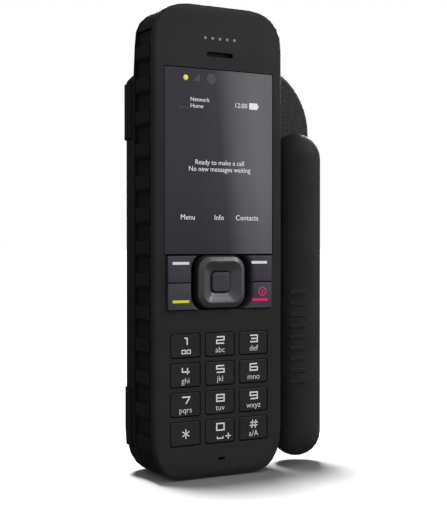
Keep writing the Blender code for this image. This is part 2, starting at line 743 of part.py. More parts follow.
def outer_controls():
    width = (HALF_WIDTH - 4.4, HALF_WIDTH + 0.5)
    rocker = box("volume_rocker", width, *grown(VOLUME, VOLUME_SIZE, 0.0), "grip_rubber", bevel=0.6)
    turns_on("volume_pivot", (HALF_WIDTH - 2.3, *VOLUME), rocker)

    cover_height = (ALERT_TOP - 1.5, ALERT_TOP)
    cover = box("alert_cover", *ALERT_COVER, cover_height, "grip_rubber", bevel=0.3, segments=1)
    turns_on("alert_hinge", (0.0, ALERT_COVER[1][1], ALERT_TOP), cover)
    spot = (0.0, ALERT_Y)
    key = cylinder("alert_key", "z", spot, ALERT_RADIUS, LENGTH - 4.6, LENGTH - 2.0, "key", sides=24)
    flange = (LENGTH - 4.7, LENGTH - 3.9)
    join(key, cylinder("alert_key_flange", "z", spot, ALERT_RADIUS + 0.8, *flange, sides=24))

    flap = skin_patch("port_cover", (-CLEAR, -15.3), *PORT_FLAP, -0.7, 1.0, "grip_rubber")
    round_edges(flap, 0.35, 1)
    turns_on("flap_hinge", FLAP_HINGE, flap)

    face = (13.9, BACK - 0.05)
    plug = cylinder("antenna_port_plug", "y", ANTENNA_PORT, PLUG_RADIUS, *face, "grip_rubber", 24, bevel=0.3)
    join(plug, cylinder("plug_stem", "y", ANTENNA_PORT, 1.6, 12.2, 14.2, sides=16))


def battery_door():
    half, low, high = DOOR
    door = skin_patch("battery_door", (-half, half), (5, CLEAR), (low, high), 0.0, DOOR_THICK, "housing")
    cut(
        door,
        cylinder("latch_pocket", "y", LATCH, LATCH_RADIUS + GAP, BACK - 1.25, 20, sides=28),
        cylinder("latch_clearance", "y", LATCH, LATCH_SHAFT + 0.4, 5, 20, sides=16),
    )
    turns_on("door_guide", (0.0, BACK, (low + high) / 2), door)
    head = (BACK - 0.95, BACK - 0.05)
    latch = cylinder("battery_latch", "y", LATCH, LATCH_RADIUS, *head, "steel", sides=28)
    join(latch, cylinder("latch_shaft", "y", LATCH, LATCH_SHAFT, 6.0, BACK - 0.5, sides=16))
    slot = [(LATCH[0] - 2.9, LATCH[0] + 2.9), (BACK - 0.5, BACK + 2), (LATCH[1] - 0.5, LATCH[1] + 0.5)]
    cut(latch, box("latch_slot", *slot))


# ---- What the housing holds -------------------------------------------------------------------------------
def electronics():
    outline = rounded_rect(42.0, 131.0, 3.0)
    plate("main_board", "xz", outline, BOARD_FRONT, BOARD_FRONT + 1.1, "board", centre=(0.0, 82.5))
    shield = box("rf_shield", (-16, 16), (-3.3, 0.6), (60, 98), "steel", bevel=0.5, segments=1)
    cut(shield, box("shield_inside", (-15.6, 15.6), (-5, 0.2), (60.4, 97.6)))

    slot = (0.0, SLOT_Z)
    outline = rounded_rect(12.6, 3.4, 1.2)
    plate("earpiece_mesh", "xz", outline, FRONT + 2.5, FRONT + 2.75, "black_plastic", centre=slot)
    outline = rounded_rect(13.0, 6.0, 2.0)
    plate("earpiece", "xz", outline, FRONT + 3.1, FRONT + 5.8, "black_plastic", 0.3, 1, centre=slot)
    cylinder("microphone", "y", (MIC_X, MIC_Z + 1.4), 2.0, FRONT + 2.6, FRONT + 4.6, "steel", 20, bevel=0.2)
    middle = (0.0, SPEAKER_Z)
    speaker = cylinder("loudspeaker", "y", middle, 8.0, 7.4, 11.2, "black_plastic", sides=32, bevel=0.5)
    cut(speaker, cylinder("speaker_cone", "y", middle, 6.6, 10.4, 15, sides=32))
    cylinder("vibration_motor", "x", (5.0, 113.0), 2.2, 6.0, 15.0, "steel", sides=20, bevel=0.2)

    half = BAY_HALF - 0.7
    box("battery", (-half, half), (BAY_FLOOR + 1.6, 11.2), (24.0, 96.4), "battery_label", bevel=1.0)
    contacts = ((-5.0, 5.0), (BAY_FLOOR + 0.3, BAY_FLOOR + 5.0), (96.9, 98.6))
    box("battery_contacts", *contacts, "gold", bevel=0.2, segments=1)
    box("sim_card", (-12.5, 12.5), (BAY_FLOOR + 0.3, BAY_FLOOR + 1.1), (60.0, 75.0), "card")


def sockets():
    usb = box("usb_socket", (-22.6, -17.0), *grown(USB, USB_SIZE, 0.0), "steel", bevel=0.3, segments=1)
    cut(usb, box("usb_mouth", (-30, -18.0), *grown(USB, USB_SIZE, -0.45)))
    shell = ((-20.4, -12.5), *grown(AUDIO, (5.2, 5.8), 0.0))
    audio = box("audio_socket", *shell, "black_plastic", bevel=0.3, segments=1)
    cut(audio, cylinder("audio_bore", "x", AUDIO, AUDIO_BORE, -30, -13.5, sides=20))
    port = cylinder("antenna_port", "y", ANTENNA_PORT, 3.0, 5.4, 13.3, "gold", sides=24)
    cut(port, cylinder("antenna_port_bore", "y", ANTENNA_PORT, 2.0, 10.0, 20, sides=20))


# ---- Antenna -----------------------------------------------------------------------------------------------
def ear_outline():
    right = EAR_ARC_CENTRE[0] + EAR_ARC_RADIUS
    points = arc(EAR_ARC_CENTRE, (EAR_ARC_RADIUS, EAR_ARC_RADIUS), 86, 0, 12)
    points += arc((right - EAR_LOW_RADIUS, PIVOT.z), (EAR_LOW_RADIUS, EAR_LOW_RADIUS), 0, -90, 6)
    points += [(24.0, PIVOT.z - EAR_LOW_RADIUS - 4.0)]
    return points


def antenna_hinge():
    """The shoulder that carries the antenna's pivot, with the pin, its washer and the cap behind."""
    depth = (EAR_FRONT, EAR_BACK)
    ear = plate("antenna_hinge_housing", "xz", ear_outline(), *depth, "ear_texture", bevel=1.4, segments=3)
    pivot = (PIVOT.x, PIVOT.z)
    step_back = BACK - (DEPTH - TOP_DEPTH) - 0.4
    cut(
        ear,
        body_form("ear_fit", -GAP),
        box("ear_step", (20, 60), (step_back, 20), (STEP_LOW, LENGTH)),
        cylinder("ear_bore", "y", pivot, PIN_RADIUS + GAP, -5, 15, sides=24),
        cylinder("ear_counterbore", "y", pivot, 5.9, 6.3, 15, sides=28),
    )
    washer = cylinder("friction_washer", "y", pivot, 5.4, 6.7, 7.5, "steel", sides=28)
    cut(washer, cylinder("washer_bore", "y", pivot, PIN_RADIUS + GAP, 5, 9, sides=24))
    cylinder("hinge_cap", "y", pivot, 5.55, 9.3, EAR_BACK - 0.1, "ear_texture", sides=28, bevel=0.4)
    pin = cylinder("hinge_pin", "y", pivot, PIN_RADIUS, -5.4, 8.2, "steel", sides=24)
    join(pin, cylinder("pin_head", "y", pivot, 4.6, 7.9, 8.9, sides=24))
    return pin


def capsule(name, radius, low, high, finish=None, sides=32, steps=6):
    profile = [(r, high - radius + z) for r, z in arc((0.0, 0.0), (radius, radius), 90, 0, steps)]
    profile += [(r, low + radius + z) for r, z in arc((0.0, 0.0), (radius, radius), 0, -90, steps)]
    profile[0] = (0.0, high)
    profile[-1] = (0.0, low)
    place = Matrix.Translation(Vector((*ROD_AXIS, 0.0)) * MM)
    return turned(name, profile, place, finish, sides)


def rod_cut(name, clearance):
    """What is taken off the rod's back so that it can swing past the shoulder."""
    x, y = ROD_AXIS
    front = EAR_FRONT - GAP - clearance
    return box(name, (x - 20, x + 20), (front, 20), (PIVOT.z - FLAT_REACH - clearance, ROD_HIGH + 10))


def antenna(pin):
    x, y = ROD_AXIS
    low, high = ROD_LOW + ROD_WALL, ROD_HIGH - ROD_WALL
    halves = (("antenna_front_shell", (-30, y - GAP / 2)), ("antenna_rear_shell", (y + GAP / 2, 30)))
    moving = [pin]
    for name, depth in halves:
        shell = capsule(name, ROD_RADIUS, ROD_LOW, ROD_HIGH, "housing")
        keep(shell, box(name + "_half", (x - 20, x + 20), depth, (-10, 140)))
        hollow = capsule(name + "_hollow", ROD_RADIUS - ROD_WALL, low, high)
        if name == "antenna_rear_shell":
            cut(hollow, rod_cut("hollow_cut", ROD_WALL))
            cut(shell, rod_cut("shell_cut", 0.0))
        cut(shell, hollow)
        if name == "antenna_rear_shell":
            cut(shell, cylinder("pin_bore", "y", (PIVOT.x, PIVOT.z), PIN_RADIUS + GAP, -10, 15, sides=24))
        moving.append(shell)
    core_top = PIVOT.z - FLAT_REACH - 2.0
    moving.append(cylinder("antenna_core", "z", (x, y), 6.4, 8.0, core_top, "ceramic", sides=24, bevel=0.4))
    turns_on("antenna_pivot", PIVOT, *moving)


def build():
    front_housing()
    display()
    keypad()
    soft_keys()
    navigation_keys()
    keypad_layers()
    rear_housing()
    gasket_and_screws()
    grips()
    outer_controls()
    battery_door()
    electronics()
    sockets()
    pin = antenna_hinge()
    antenna(pin)


clear_scene()
PARTS = new_collection(OBJECT)
CUTTERS = new_collection("cutters")
build()
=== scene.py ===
"""Looks of the satellite phone: camera, light, floor, materials and finer pieces on the CAD model.

Lengths are in millimetres in the model's frame (+X right as the keypad is read, +Y from the keypad
to the back, +Z up along the phone) and become metres where the meshes are made.
"""

import json
import math

import bmesh
import bpy
from mathutils import Matrix, Vector


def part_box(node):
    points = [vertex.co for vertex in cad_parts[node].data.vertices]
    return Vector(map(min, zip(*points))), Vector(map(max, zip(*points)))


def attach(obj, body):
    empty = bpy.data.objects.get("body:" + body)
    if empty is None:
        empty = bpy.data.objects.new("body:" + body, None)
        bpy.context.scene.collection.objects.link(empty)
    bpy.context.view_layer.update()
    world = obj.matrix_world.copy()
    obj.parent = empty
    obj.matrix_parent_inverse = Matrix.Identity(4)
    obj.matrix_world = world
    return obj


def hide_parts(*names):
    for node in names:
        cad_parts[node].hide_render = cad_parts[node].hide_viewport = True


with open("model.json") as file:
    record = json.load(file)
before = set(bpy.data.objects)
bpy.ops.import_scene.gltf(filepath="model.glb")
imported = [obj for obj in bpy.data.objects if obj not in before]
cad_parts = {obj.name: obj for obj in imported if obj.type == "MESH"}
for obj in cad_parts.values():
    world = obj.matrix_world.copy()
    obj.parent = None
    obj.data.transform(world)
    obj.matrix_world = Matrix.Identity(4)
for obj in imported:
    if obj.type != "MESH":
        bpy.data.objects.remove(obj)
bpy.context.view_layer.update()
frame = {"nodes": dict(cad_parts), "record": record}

MM = 0.001


def node_box(name):
    """The low and the high corner of a CAD node's box, in mm."""
    low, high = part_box(name)
    return low / MM, high / MM


FRONT = node_box("front_housing")[0].y
GLASS_LOW = node_box("display_window")[0]
NAV_LOW, NAV_HIGH = node_box("nav_ring")
NAV_CENTRE = ((NAV_LOW.x + NAV_HIGH.x) / 2, (NAV_LOW.z + NAV_HIGH.z) / 2)
PRINT = 0.03  # thickness of printed figures
HALF_WIDTH = -node_box("left_grip")[0].x  # to the tops of the grips' pads
SOFT_KEY_FRONT = node_box("soft_key_left")[0].y


# ---- Materials -----------------------------------------------------------------------------------
class Surface:
    """A material, its Principled shader and the texture nodes that feed it."""

    def __init__(self, name, colour, roughness, specular=0.5, metallic=0.0):
        self.material = bpy.data.materials.new(name)
        self.material.use_nodes = True
        self.tree = self.material.node_tree
        self.shader = self.tree.nodes["Principled BSDF"]
        self.colour = colour
        self.set("Base Color", (*colour, 1.0))
        self.set("Roughness", roughness)
        self.set("Specular IOR Level", specular)
        self.set("Metallic", metallic)
        self.place = self.node("ShaderNodeTexCoord").outputs["Object"]

    def set(self, socket, value):
        self.shader.inputs[socket].default_value = value

    def node(self, kind, **settings):
        made = self.tree.nodes.new(kind)
        for key, value in settings.items():
            setattr(made, key, value)
        return made

    def link(self, source, target):
        self.tree.links.new(source, target)

    def noise(self, scale, detail=2.0, stretch=None):
        """Noise in the piece's own space, drawn out along an axis where stretch gives three scales."""
        texture = self.node("ShaderNodeTexNoise")
        texture.inputs["Scale"].default_value = scale
        texture.inputs["Detail"].default_value = detail
        if stretch:
            mapping = self.node("ShaderNodeMapping")
            mapping.inputs["Scale"].default_value = stretch
            self.link(self.place, mapping.inputs["Vector"])
            self.link(mapping.outputs["Vector"], texture.inputs["Vector"])
        else:
            self.link(self.place, texture.inputs["Vector"])
        return texture.outputs["Fac"]

    def cells(self, scale):
        texture = self.node("ShaderNodeTexVoronoi")
        texture.inputs["Scale"].default_value = scale
        self.link(self.place, texture.inputs["Vector"])
        return texture.outputs["Distance"]

    def spread(self, value, low, high, start=0.0, end=1.0):
        """The range from start to end of a value, turned into the range from low to high."""
        change = self.node("ShaderNodeMapRange")
        change.inputs["From Min"].default_value = start
        change.inputs["From Max"].default_value = end
        change.inputs["To Min"].default_value = low
        change.inputs["To Max"].default_value = high
        self.link(value, change.inputs["Value"])
        return change.outputs["Result"]

    def mix(self, share, first, second):
        """A blend of two colours, each of them a tuple or a texture's output."""
        blend = self.node("ShaderNodeMix", data_type="RGBA")
        for socket, value in (("Factor", share), ("A", first), ("B", second)):
            target = next(s for s in blend.inputs if s.name == socket and s.enabled)
            if isinstance(value, tuple):
                target.default_value = (*value, 1.0)
            else:
                self.link(value, target)
        return next(s for s in blend.outputs if s.enabled)

    def bump(self, height, depth_mm, strength=1.0, after=None):
        relief = self.node("ShaderNodeBump")
        relief.inputs["Distance"].default_value = depth_mm * MM
        relief.inputs["Strength"].default_value = strength
        self.link(height, relief.inputs["Height"])
        if after:
            self.link(after, relief.inputs["Normal"])
        self.link(relief.outputs["Normal"], self.shader.inputs["Normal"])
        return relief.outputs["Normal"]

    def beyond(self, axis, inner, outer):
        """A mask that goes from 0 to 1 between two distances from the middle along an axis, in mm."""
        split = self.node("ShaderNodeSeparateXYZ")
        self.link(self.place, split.inputs["Vector"])
        aside = self.node("ShaderNodeMath", operation="ABSOLUTE")
        self.link(split.outputs[axis], aside.inputs[0])
        return self.spread(aside.outputs["Value"], 0.0, 1.0, inner * MM, outer * MM)

    def scaled(self, colour, factor):
        product = self.node("ShaderNodeVectorMath", operation="SCALE")
        self.link(colour, product.inputs[0])
        self.link(factor, product.inputs["Scale"])
        return product.outputs["Vector"]

    def worn_edges(self, radius_mm):
        """A mask that is 1 on sharp edges, where handling polishes the surface."""
        rounded = self.node("ShaderNodeBevel", samples=4)
        rounded.inputs["Radius"].default_value = radius_mm * MM
        flat = self.node("ShaderNodeNewGeometry")
        turn = self.node("ShaderNodeVectorMath", operation="DOT_PRODUCT")
        self.link(rounded.outputs["Normal"], turn.inputs[0])
        self.link(flat.outputs["Normal"], turn.inputs[1])
        return self.spread(turn.outputs["Value"], 1.0, 0.0, 0.72, 0.97)


def times(colour, factor):
    return tuple(c * factor for c in colour)


def moulded(
    name, colour, roughness, specular, grain_scale, grain_depth, wear=1.5, vary=0.16, painted_shade=None, speckle=0.0
):
    """Textured moulding: cell grain, fine noise, uneven gloss, slight wear on the edges.

    The edges' colour is wear times the body's, which itself varies by the share vary. The grain's
    depth is in mm. Speckle is how much the single grains differ in colour. Where the painted shade
    gives an axis, two distances from the middle in mm and a share, the surface is painted darker, to
    that share of its colour from the outer distance to the inner one: painted shade for the floors of
    grooves and other recesses.
    """
    made = Surface(name, colour, roughness, specular)
    coarse = made.noise(90.0, 4.0)
    body = made.mix(made.spread(coarse, 0.0, 1.0, 0.3, 0.7), times(colour, 1 - vary), times(colour, 1 + vary))
    painted = made.mix(made.worn_edges(radius_mm=0.35), body, times(colour, wear))
    if speckle:
        grains = made.spread(made.noise(grain_scale * 1.7, 1.0), 1 - speckle, 1 + speckle, 0.35, 0.65)
        painted = made.scaled(painted, grains)
    # painted shade: darker colour towards the floors of grooves and recesses
    if painted_shade:
        axis, inner, outer, share = painted_shade
        painted = made.mix(made.beyond(axis, inner, outer), times(colour, share), painted)
    made.link(painted, made.shader.inputs["Base Color"])
    gloss = made.spread(made.noise(260.0, 3.0), roughness - 0.06, roughness + 0.06)
    made.link(gloss, made.shader.inputs["Roughness"])
    pits = made.bump(made.cells(grain_scale), grain_depth, 0.55)
    made.bump(made.noise(grain_scale * 2.3, 2.0), grain_depth * 0.5, 0.5, after=pits)
    return made


def brushed(name, colour, roughness):
    """Metal with fine brush lines."""
    made = Surface(name, colour, roughness, metallic=1.0)
    lines = made.noise(900.0, 3.0, stretch=(1.0, 1.0, 30.0))
    made.link(made.spread(lines, roughness - 0.08, roughness + 0.12), made.shader.inputs["Roughness"])
    made.link(made.mix(lines, times(colour, 0.8), colour), made.shader.inputs["Base Color"])
    made.bump(lines, 0.01, 0.4)
    return made


def ink(name, colour, glow):
    """Printed figures: slightly uneven, with a little glow, which is the backlight in the screen's words, the
    lamp's own light in the status light, and a painted glow in the prints on the keys and the housing.
    """
    made = Surface(name, colour, 0.45, 0.3)
    made.set("Emission Color", (*colour, 1.0))
    made.set("Emission Strength", glow)
    patchy = made.spread(made.noise(1500.0, 2.0), 0.9, 1.0)
    made.link(made.mix(patchy, times(colour, 0.75), colour), made.shader.inputs["Base Color"])
    made.bump(made.noise(4000.0), 0.01, 0.3)
    return made


# The glass's colour is a painted reflection: a dim left side and a paler right side with a slanted soft
# border, and the whole is darker towards its lower end.
GLASS_SLANT = 0.09  # how far the border between the glass's two shades leans
GLASS_SHIFT = 10.2  # what the lean adds at the middle of the glass's height
GLASS_REACH = 22.5  # from the middle to the ends of the row of shades
GLASS_DIM_END = 28.0  # height over which the lower end is dimmer
GLASS_REFLECTION_SHADES = (
    (0.00, (0.029, 0.031, 0.039)),
    (0.30, (0.032, 0.031, 0.039)),
    (0.52, (0.042, 0.040, 0.049)),
    (0.70, (0.122, 0.117, 0.131)),
    (0.86, (0.154, 0.149, 0.166)),
    (1.00, (0.147, 0.142, 0.158)),
)


def display_glass():
    """Cover glass with a painted reflection: a dim left side, a paler right side with a soft slanted border.
    """
    made = Surface("display_glass", (0.05, 0.05, 0.06), 0.06, 0.22)
    split = made.node("ShaderNodeSeparateXYZ")
    made.link(made.place, split.inputs["Vector"])
    lean = made.node("ShaderNodeMath", operation="MULTIPLY_ADD")
    made.link(split.outputs["Z"], lean.inputs[0])
    lean.inputs[1].default_value = GLASS_SLANT
    made.link(split.outputs["X"], lean.inputs[2])
    left, right = (GLASS_SHIFT - GLASS_REACH) * MM, (GLASS_SHIFT + GLASS_REACH) * MM
    # painted reflection: the shades across the glass
    ramp = made.node("ShaderNodeValToRGB")
    made.link(made.spread(lean.outputs["Value"], 0.0, 1.0, left, right), ramp.inputs["Fac"])
    points = ramp.color_ramp.elements
    while len(points) < len(GLASS_REFLECTION_SHADES):
        points.new(0.5)
    for point, (spot, shade) in zip(points, GLASS_REFLECTION_SHADES):
        point.position = spot
        point.color = (*shade, 1.0)
    dim_end = GLASS_LOW.z + GLASS_DIM_END
    low_end = made.spread(split.outputs["Z"], 0.72, 1.0, GLASS_LOW.z * MM, dim_end * MM)
    made.link(made.scaled(ramp.outputs["Color"], low_end), made.shader.inputs["Base Color"])
    made.set("Emission Color", (0.2, 0.2, 0.22, 1.0))
    made.set("Emission Strength", 0.01)
    smear = made.spread(made.noise(45.0, 4.0), 0.05, 0.12, 0.35, 0.75)
    made.link(smear, made.shader.inputs["Roughness"])
    made.bump(made.noise(28.0, 1.0), 0.004, 0.3)
    return made


def circuit_board():
    """Green solder mask with a net of tracks."""
    made = Surface("circuit_board", (0.02, 0.09, 0.045), 0.45)
    tracks = made.node("ShaderNodeTexBrick")
    tracks.inputs["Scale"].default_value = 260.0
    tracks.inputs["Color1"].default_value = (0.020, 0.090, 0.045, 1.0)
    tracks.inputs["Color2"].default_value = (0.016, 0.075, 0.040, 1.0)
    tracks.inputs["Mortar"].default_value = (0.050, 0.160, 0.080, 1.0)
    made.link(made.place, tracks.inputs["Vector"])
    made.link(tracks.outputs["Color"], made.shader.inputs["Base Color"])
    made.bump(tracks.outputs["Fac"], 0.03, 0.5)
    return made


# Painted shade: the grips' groove floors and the recessed parts of the soft-key plastic are painted darker in
# place of their shade.
GROOVE_SHADE = ("X", HALF_WIDTH - 1.1, HALF_WIDTH - 0.2, 0.65)  # what gets darker: see moulded
KEY_EDGE_SHADE = ("Y", -SOFT_KEY_FRONT - 0.9, -SOFT_KEY_FRONT - 0.05, 0.65)
MATERIALS = {
    "housing": moulded("housing_plastic", (0.0140, 0.0140, 0.0143), 0.52, 0.20, 2600.0, 0.030),
    "grip_rubber": moulded("grip_rubber", (0.0090, 0.0090, 0.0092), 0.66, 0.15, 1900.0, 0.040, painted_shade=GROOVE_SHADE),
    "ear_texture": moulded(
        "ear_grain", (0.0205, 0.0206, 0.0217), 0.60, 0.22, 1500.0, 0.110, wear=1.3, speckle=0.65
    ),
    "glass": display_glass(),
    "display": moulded("display_panel", (0.030, 0.030, 0.036), 0.30, 0.40, 3000.0, 0.005),
    "key": moulded("key_plastic", (0.0135, 0.0135, 0.0140), 0.48, 0.22, 3200.0, 0.015, wear=1.4),
    "soft_key": moulded(
        "soft_key", (0.049, 0.047, 0.061), 0.50, 0.20, 3400.0, 0.010, vary=0.08, painted_shade=KEY_EDGE_SHADE
    ),
    "ring": moulded("ring_paint", (0.038, 0.039, 0.045), 0.31, 0.46, 3600.0, 0.010, wear=1.25, vary=0.06),
    "silicone": moulded("silicone", (0.010, 0.010, 0.010), 0.75, 0.20, 2200.0, 0.020),
    "board": circuit_board(),
    "steel": brushed("brushed_steel", (0.55, 0.56, 0.57), 0.30),
    "gold": brushed("gold_plate", (0.80, 0.60, 0.25), 0.25),
    "black_plastic": moulded("black_plastic", (0.015, 0.015, 0.016), 0.50, 0.25, 2600.0, 0.020),
    "battery_label": moulded("battery_film", (0.030, 0.030, 0.033), 0.45, 0.30, 3000.0, 0.010),
    "card": moulded("card_plastic", (0.70, 0.70, 0.69), 0.40, 0.30, 3000.0, 0.010, wear=1.0, vary=0.03),
    "ceramic": moulded("former_ceramic", (0.62, 0.58, 0.48), 0.60, 0.30, 2400.0, 0.030, wear=1.0, vary=0.06),
    "light": ink("status_light", (0.70, 0.66, 0.02), 0.35),
}
DARK_HOUSING = moulded("dark_housing_plastic", (0.0085, 0.0085, 0.0088), 0.58, 0.15, 2600.0, 0.030)
DARK_STEEL = brushed("dark_steel", (0.16, 0.16, 0.17), 0.38)
SMOKED_PLASTIC = moulded("smoked_plastic", (0.016, 0.016, 0.010), 0.25, 0.50, 3400.0, 0.010)
ROD_PLASTIC = moulded("rod_plastic", (0.0236, 0.0237, 0.0248), 0.62, 0.08, 2600.0, 0.030)
OWN_MATERIALS = {  # nodes that differ from their slot's material
    "antenna_front_shell": ROD_PLASTIC,
    "antenna_rear_shell": ROD_PLASTIC,
    "rear_housing": DARK_HOUSING,
    "battery_door": DARK_HOUSING,
    "battery_latch": DARK_STEEL,
    "light_pipe": SMOKED_PLASTIC,
}
for screw in ("top_left", "top_right", "bottom_left", "bottom_right"):
    OWN_MATERIALS["screw_" + screw] = DARK_STEEL
# The glow of the white, grey, yellow and magenta inks on the keys and the housing is a painted glow.
INK = {
    "white": ink("white_ink", (0.72, 0.72, 0.72), 0.12),
    "screen": ink("screen_white", (0.78, 0.78, 0.80), 0.20),
    "grey": ink("grey_ink", (0.24, 0.24, 0.25), 0.03),
    "yellow": ink("yellow_ink", (0.66, 0.66, 0.02), 0.12),
    "magenta": ink("magenta_ink", (0.68, 0.008, 0.13), 0.12),
    "faint": ink("faint_print", (0.070, 0.070, 0.080), 0.0),
    "amber": ink("amber_print", (0.16, 0.085, 0.05), 0.0),
}


# ---- Meshes --------------------------------------------------------------------------------------
def finished(name, bm, material, body, replaces=(), sharp_from=32.0):
    """A piece from a bmesh in millimetres, which rides on a body and may replace CAD nodes."""
    bmesh.ops.remove_doubles(bm, verts=bm.verts, dist=1e-5)
    bmesh.ops.recalc_face_normals(bm, faces=bm.faces)
    bmesh.ops.scale(bm, vec=(MM, MM, MM), verts=bm.verts)
    mesh = bpy.data.meshes.new(name)
    bm.to_mesh(mesh)
    bm.free()
    mesh.shade_smooth()
    mesh.set_sharp_from_angle(angle=math.radians(sharp_from))
    mesh.materials.append(material.material)
    piece = bpy.data.objects.new(name, mesh)
    bpy.context.scene.collection.objects.link(piece)
    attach(piece, body)
    if replaces:
        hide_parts(*replaces)


def arc(centre, radius, start, stop, steps):
    """Points from one angle in degrees to another, across and up."""
    turns = [math.radians(start + (stop - start) * i / steps) for i in range(steps + 1)]
    return [(centre[0] + radius * math.cos(a), centre[1] + radius * math.sin(a)) for a in turns]


def circle(centre, radius, sides):
    return arc(centre, radius, 0, 360 - 360 / sides, sides - 1)


def rounded_rect(width, height, radius, steps):
    points = []
    for quarter, (sx, sz) in enumerate(((1, 1), (-1, 1), (-1, -1), (1, -1))):
        corner = (sx * (width / 2 - radius), sz * (height / 2 - radius))
        points += arc(corner, radius, quarter * 90, quarter * 90 + 90, steps)
    return points


def facing_front(outline, y, centre=(0.0, 0.0)):
    return [(centre[0] + u, y, centre[1] + v) for u, v in outline]


def bridge(bm, loops, capped=True):
    """A skin through loops of equally many points."""
    rings = [[bm.verts.new(p) for p in loop] for loop in loops]
    for low, high in zip(rings, rings[1:]):
        for i in range(len(low)):
            j = (i + 1) % len(low)
            bm.faces.new((low[i], low[j], high[j], high[i]))
    if capped:
        bm.faces.new(rings[0][::-1])
        bm.faces.new(rings[-1])


def printed(bm, outline, y):
    """A thin raised print with the given outline on a surface that faces the front."""
    bridge(bm, [facing_front(outline, y), facing_front(outline, y - PRINT)])


def stroke(bm, points, width, y, closed=False):
    """A flat line of constant width with mitred corners, as a thin raised print."""
    count = len(points)
    sides = ([], [])
    for i, point in enumerate(points):
        here = Vector(point)
        before = Vector(points[i - 1]) if (i or closed) else None
        after = Vector(points[(i + 1) % count]) if (i < count - 1 or closed) else None
        into = (here - before).normalized() if before is not None else (after - here).normalized()
        out = (after - here).normalized() if after is not None else into
        across = Vector((-(into + out).y, (into + out).x)).normalized()
        reach = width / 2 / max(0.5, across.dot(Vector((-into.y, into.x))))
        sides[0].append(here + across * reach)
        sides[1].append(here - across * reach)
    spans = count if closed else count - 1
    for i in range(spans):
        j = (i + 1) % count
        printed(bm, (sides[0][i], sides[0][j], sides[1][j], sides[1][i]), y)


def drawn(bm, lines, centre, size, width, y):
    """Strokes given in a unit square, placed and sized. A line that ends where it starts is closed."""
    for line in lines:
        points = [(centre[0] + (u - 0.5) * size[0], centre[1] + (v - 0.5) * size[1]) for u, v in line]
        closed = line[0] == line[-1] and len(line) > 2
        stroke(bm, points[:-1] if closed else points, width, y, closed)


def lettered(bm, words, centre, height, y, align="CENTER", weight=0.0):
    """Generic words in Blender's own font, as thin raised print."""
    curve = bpy.data.curves.new("words", "FONT")
    curve.body = words
    curve.size = height * MM
    curve.align_x = align
    curve.extrude = PRINT / 2 * MM
    curve.offset = weight * MM
    curve.resolution_u = 3
    text = bpy.data.objects.new("words", curve)
    bpy.context.scene.collection.objects.link(text)
    bpy.context.view_layer.update()
    mesh = bpy.data.meshes.new_from_object(text.evaluated_get(bpy.context.evaluated_depsgraph_get()))
    bpy.data.objects.remove(text, do_unlink=True)
    upright = Matrix.Translation((centre[0], y - PRINT / 2, centre[1])) @ Matrix.Rotation(math.pi / 2, 4, "X")
    mesh.transform(upright @ Matrix.Scale(1 / MM, 4))
    bm.from_mesh(mesh)
    bpy.data.meshes.remove(mesh)


# ---- Stage: camera, light and floor --------------------------------------------------------------
CAMERA = (-204.3, -369.95, 83.3)
YAW, PITCH = math.radians(30.10), math.radians(-0.589)
LENS = 79.5
SOFT_LIGHT_FROM = (-0.1, -0.95, 0.1)
FRONT_LIGHT = 1.0  # strength of the surroundings' light from that side and from the opposite one
BACK_LIGHT = 0.10
LIGHT_FROM_BELOW = 0.3  # as a share, because the floor gives back little light
SOFT_BOXES = (  # name, place, diameter and power
    ("key_light", (620, -380, 640), 420, 4.0),
    ("side_light", (700, -80, 140), 300, 0.20),
    ("back_light", (380, 480, 360), 400, 11.0),
)
SOFT_BOX_TARGET = (0, 0, 85)
FLOOR_SUN = 14.0
FLOOR_SUN_SPREAD = math.radians(17)
FLOOR_SUN_DIRECTION = (0.015, -0.20, -1.0)


def aim(obj, direction):
    """Turn a camera or a light, which look along their own -Z."""
    obj.rotation_mode = "QUATERNION"
    obj.rotation_quaternion = Vector(direction).to_track_quat("-Z", "Y")


def make_camera():
    data = bpy.data.cameras.new("camera")
    data.lens = LENS
    data.sensor_width = 36.0
    data.clip_start = 0.01
    camera = bpy.data.objects.new("camera", data)
    camera.location = Vector(CAMERA) * MM
    level = math.cos(PITCH)
    aim(camera, (math.sin(YAW) * level, math.cos(YAW) * level, math.sin(PITCH)))
    bpy.context.scene.collection.objects.link(camera)
    bpy.context.scene.camera = camera


def light_object(name, data, direction, place=(0.0, 0.0, 0.0), lit=None, spared=None):
    """A light that shines on everything, or on one object only, or on all but one."""
    light = bpy.data.objects.new(name, data)
    light.location = Vector(place) * MM
    aim(light, direction)
    bpy.context.scene.collection.objects.link(light)
    if lit or spared:
        receivers = bpy.data.collections.new(name + "_receivers")
        receivers.objects.link(lit or spared)
        if spared:
            receivers.collection_objects[0].light_linking.link_state = "EXCLUDE"
        light.light_linking.receiver_collection = receivers


